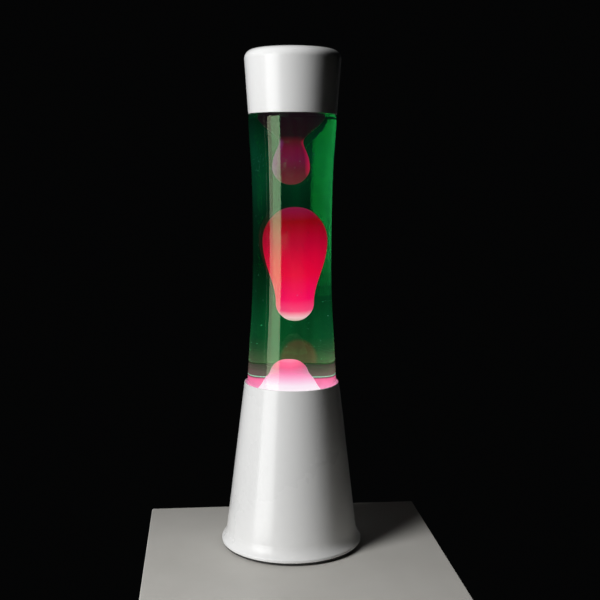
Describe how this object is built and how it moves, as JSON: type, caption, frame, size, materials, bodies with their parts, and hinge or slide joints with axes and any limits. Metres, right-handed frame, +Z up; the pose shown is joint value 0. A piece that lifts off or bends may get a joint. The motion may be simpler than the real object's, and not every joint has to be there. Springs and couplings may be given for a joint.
{
  "type": "lava lamp",
  "caption": "Upright lava lamp: white metal cone base with a flared foot, waisted glass bottle of green liquid and glowing pink wax, and a white metal cap.",
  "frame": {"origin": "centre of the foot, on the table", "axes": "+Z up along the lamp's axis, +Y towards the cord inlet at the back, +X to the right when seen from the front"},
  "size_m": [0.114, 0.114, 0.395],
  "materials": {
    "white_enamel": "gloss",
    "black_paint": "satin",
    "steel": "satin",
    "rivet_alloy": "satin",
    "brass": "satin",
    "black_rubber": "matte",
    "silicone": "matte",
    "soft_ring": "matte",
    "phenolic": "satin",
    "nylon": "satin",
    "brown_lead": "satin",
    "blue_lead": "satin",
    "bulb_glass": "gloss",
    "bulb_cap": "satin",
    "black_glass": "gloss",
    "filament": "glowing",
    "clear_glass": "gloss",
    "green_liquid": "clear",
    "pink_wax": "glowing",
    "red_wax": "glowing",
    "dark_wax": "glowing",
    "liner": "matte",
    "crown_steel": "satin"
  },
  "bodies": {
    "base": {"base_shell": "white_enamel", "bottom_plate": "black_paint", "plate_screws": "steel", "rubber_feet": "black_rubber", "cord_gland": "black_rubber", "seat_ring": "steel", "seat_pads": "silicone", "holder_bracket": "steel", "bracket_rivets": "rivet_alloy", "lamp_holder": "phenolic", "holder_screws": "steel", "holder_screw_shell": "brass", "holder_contact": "brass", "holder_terminals": "brass", "terminal_block": "nylon", "terminal_barrels": "brass", "terminal_screws": "steel", "block_screws": "steel", "live_lead": "brown_lead", "neutral_lead": "blue_lead"},
    "bulb": {"bulb_glass": "bulb_glass", "bulb_cap": "bulb_cap", "bulb_insulator": "black_glass", "bulb_tip_contact": "bulb_cap", "bulb_stem": "bulb_glass", "bulb_filament": "filament"},
    "bottle": {"glass_bottle": "clear_glass", "liquid": "green_liquid", "wax_mound": "pink_wax", "crown_liner": "liner", "crown_cap": "crown_steel"},
    "rising_wax": {"wax_blob": "red_wax"},
    "hanging_wax": {"wax_drop": "dark_wax"},
    "cap": {"top_cap": "white_enamel", "cap_ring": "soft_ring"}
  },
  "joints": [
    {"name": "bulb_unscrew", "type": "hinge", "parent": "base", "child": "bulb", "pos_m": [0, 0, 0.055], "axis": [0, 0, 1], "range_deg": [0, 720]},
    {"name": "bottle_lift", "type": "slide", "parent": "base", "child": "bottle", "axis": [0, 0, 1], "range_m": [0, 0.06]},
    {"name": "cap_lift", "type": "slide", "parent": "bottle", "child": "cap", "axis": [0, 0, 1], "range_m": [0, 0.06]},
    {"name": "wax_rise", "type": "slide", "parent": "bottle", "child": "rising_wax", "axis": [0, 0, 1], "range_m": [-0.025, 0.008]},
    {"name": "wax_sink", "type": "slide", "parent": "bottle", "child": "hanging_wax", "axis": [0, 0, 1], "range_m": [-0.008, 0]}
  ]
}
